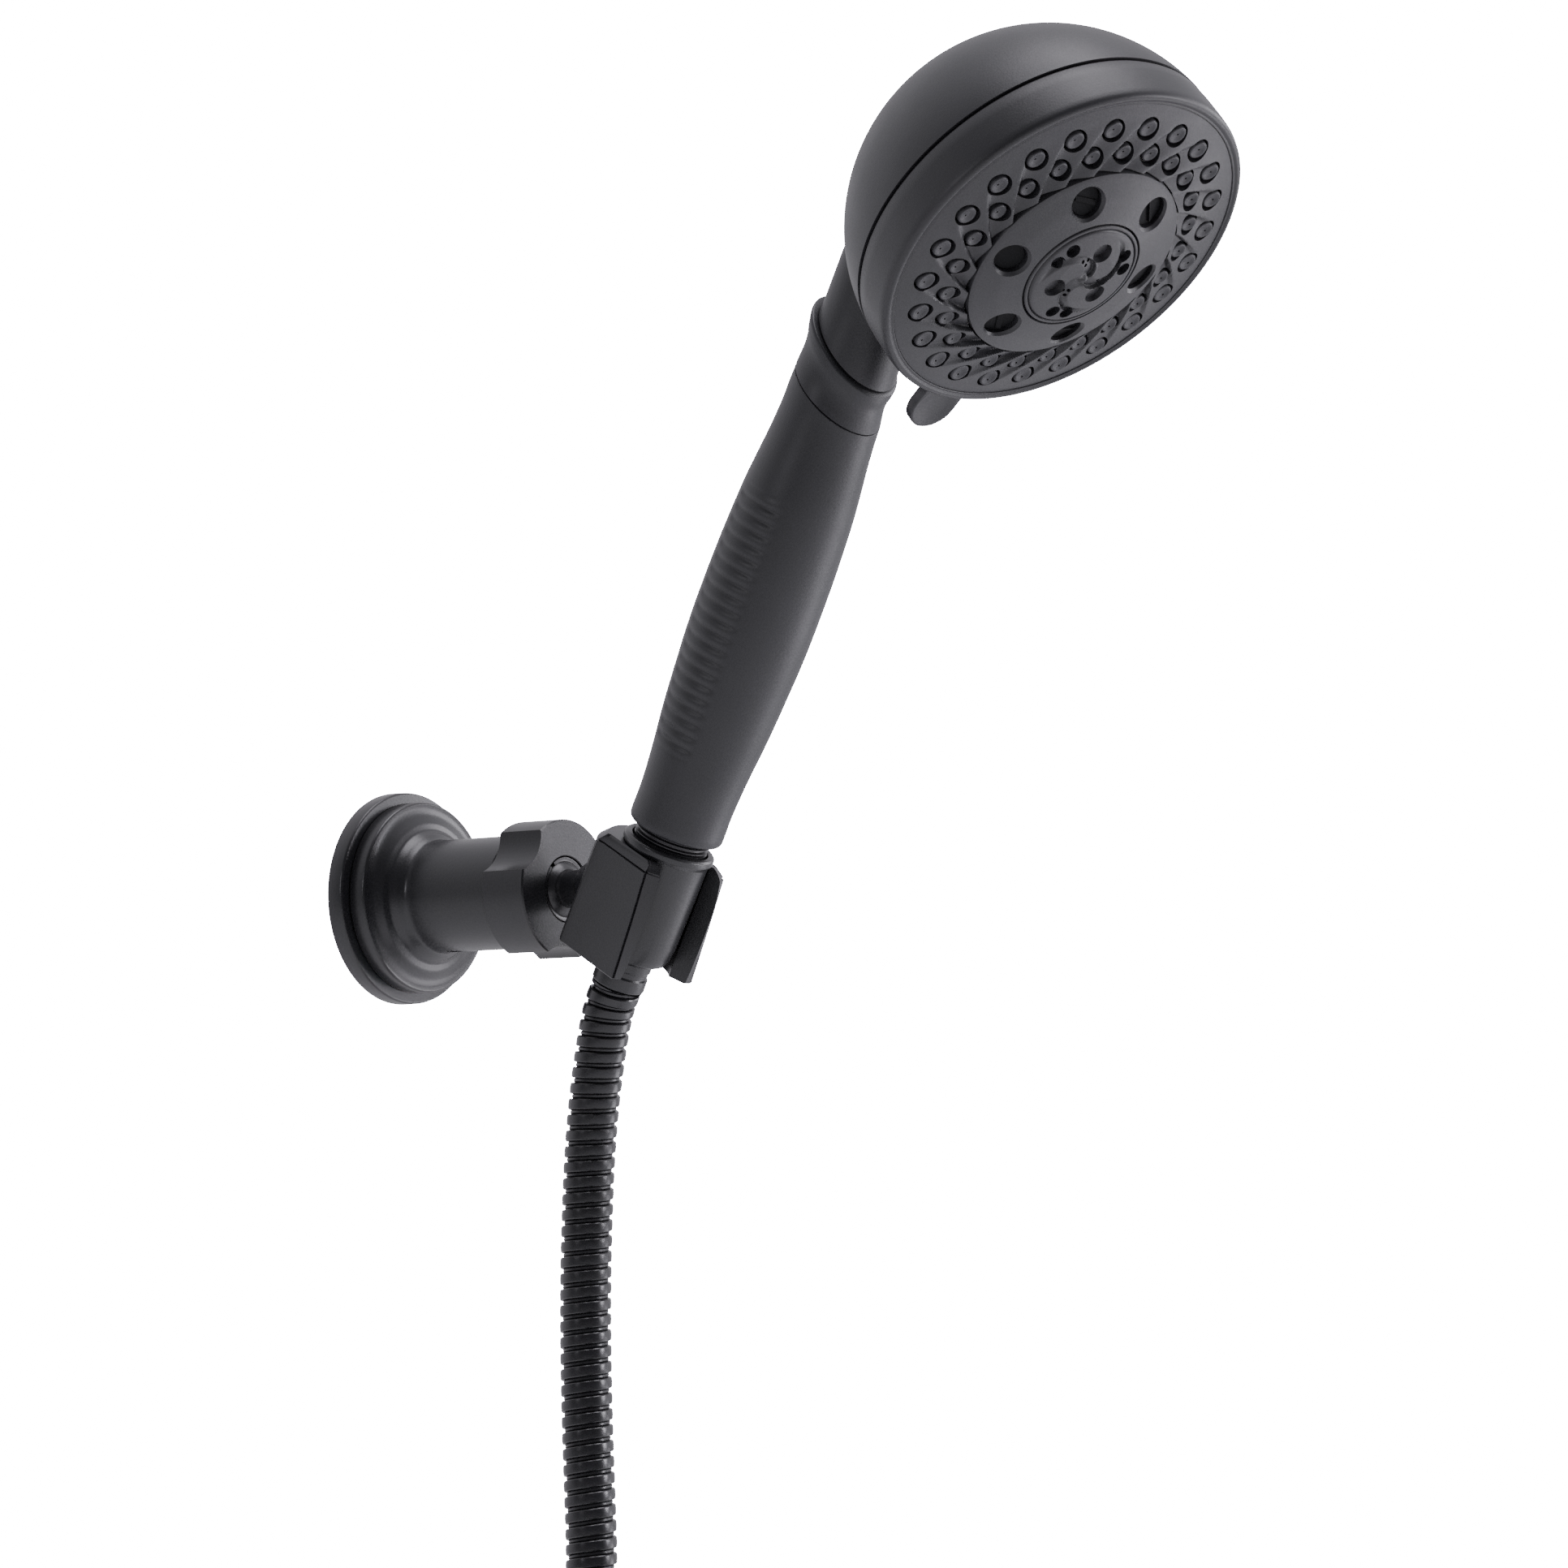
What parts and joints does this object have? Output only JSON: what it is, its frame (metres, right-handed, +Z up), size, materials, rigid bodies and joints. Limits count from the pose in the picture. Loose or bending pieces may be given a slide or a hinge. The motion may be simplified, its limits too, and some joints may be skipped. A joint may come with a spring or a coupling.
{
  "type": "handheld shower head",
  "caption": "Handheld shower head resting in a ball-jointed wall holder, with a flexible metal hose hanging below.",
  "frame": {"origin": "centre of the wall plate's back face, on the wall", "axes": "+Y into the wall, -Y out of the wall towards the user, +Z up, +X to the side"},
  "size_m": [0.1076, 0.2855, 0.5853],
  "materials": {
    "shell": "satin matte black moulded plastic",
    "metal": "satin black powder coat",
    "hose": "spiral wound hose with a satin black finish",
    "silicone": "dark grey silicone",
    "rubber": "black seal rubber",
    "acetal": "white engineering plastic",
    "brass": "machined brass",
    "steel": "stainless steel",
    "tie": "black hook and loop tape"
  },
  "bodies": {
    "wall_bracket": {"wall_plate": "metal", "flange_arm": "metal", "grub_screw": "steel", "seat_spring": "steel", "split_collet": "acetal"},
    "clamping_nut": {"ball_nut": "metal"},
    "ball_liner": {"ball_seat": "acetal"},
    "stem": {"ball_stem": "metal", "holder_screw": "steel"},
    "holder": {"holder_clip": "shell"},
    "hose_end": {"hose_ferrule": "metal", "hose_washer": "rubber"},
    "handset": {"cone_nut": "metal", "inlet_spigot": "brass", "flow_restrictor": "acetal", "check_valve_body": "acetal", "check_valve_spring": "steel", "waterway_tube": "acetal", "handle_shell": "shell", "collar_ring": "shell", "back_shell": "shell", "inlet_elbow": "acetal", "manifold": "acetal", "port_seal": "rubber", "port_seal_spring": "steel", "detent_spring": "steel", "spindle_o_ring": "rubber", "centre_screw": "steel"},
    "valve_poppet": {"check_valve_poppet": "rubber"},
    "click_pin": {"detent_pin": "steel"},
    "spray_dial": {"selector_ring": "shell", "spray_face": "shell", "nozzle_mat": "silicone", "inner_plate": "shell", "jet_ring": "silicone", "centre_cap": "shell", "face_carrier": "acetal"},
    "turbine": {"turbine_wheel": "acetal"},
    "hose": {"hose_run": "hose", "hose_coil": "hose", "hose_tie_upper": "tie", "hose_tie_lower": "tie", "hose_tail": "hose", "end_ferrule": "metal", "end_washer": "rubber"},
    "outlet_nut": {"end_nut": "metal"}
  },
  "joints": [
    {"name": "clamping_nut_turn", "type": "hinge", "parent": "wall_bracket", "child": "clamping_nut", "pos_m": [0, -0.056, 0], "axis": [0, -1, 0], "range_deg": [-10, 90]},
    {"name": "holder_pan", "type": "hinge", "parent": "wall_bracket", "child": "ball_liner", "pos_m": [0, -0.056, 0], "axis": [0, 0, 1], "range_deg": [-7, 22]},
    {"name": "holder_tilt", "type": "hinge", "parent": "ball_liner", "child": "stem", "pos_m": [0, -0.056, 0], "axis": [0.9908, -0.1352, 0], "range_deg": [-15, 15]},
    {"name": "holder_roll", "type": "hinge", "parent": "stem", "child": "holder", "pos_m": [0, -0.056, 0], "axis": [-0.1352, -0.9908, 0], "range_deg": [-20, 20]},
    {"name": "handset_lift", "type": "slide", "parent": "holder", "child": "hose_end", "axis": [-0.0653, -0.4788, 0.8755], "range_m": [0, 0.045]},
    {"name": "handset_swivel", "type": "hinge", "parent": "hose_end", "child": "handset", "pos_m": [-0.00541, -0.09562, -0.00393], "axis": [-0.0653, -0.4788, 0.8755], "continuous": true},
    {"name": "valve_travel", "type": "slide", "parent": "handset", "child": "valve_poppet", "axis": [-0.0653, -0.4788, 0.8755], "range_m": [0, 0.002], "stiffness_N_per_m": 150, "springref_m": -0.002, "deforming": ["check_valve_spring"]},
    {"name": "click_pin_travel", "type": "slide", "parent": "handset", "child": "click_pin", "axis": [0.0865, 0.6337, 0.7687], "range_m": [0, 0.0015], "stiffness_N_per_m": 300, "springref_m": -0.002, "deforming": ["detent_spring"]},
    {"name": "spray_selector", "type": "hinge", "parent": "handset", "child": "spray_dial", "pos_m": [-0.02584, -0.24535, 0.15299], "axis": [-0.0865, -0.6337, -0.7687], "range_deg": [-40, 40]},
    {"name": "turbine_spin", "type": "hinge", "parent": "spray_dial", "child": "turbine", "pos_m": [-0.02541, -0.24219, 0.15683], "axis": [-0.0865, -0.6337, -0.7687], "continuous": true},
    {"name": "hose_hang", "type": "hinge", "parent": "hose_end", "child": "hose", "pos_m": [-0.00365, -0.08278, -0.02739], "axis": [0.9908, -0.1352, 0], "range_deg": [-15, 15], "deforming": ["hose_run"]},
    {"name": "outlet_nut_turn", "type": "hinge", "parent": "hose", "child": "outlet_nut", "pos_m": [-0.00857, -0.22459, -0.20987], "axis": [0, 0, 1], "continuous": true}
  ],
  "couplings": [
    {"joint": "hose_hang", "follows": "holder_tilt", "ratio": -1}
  ]
}
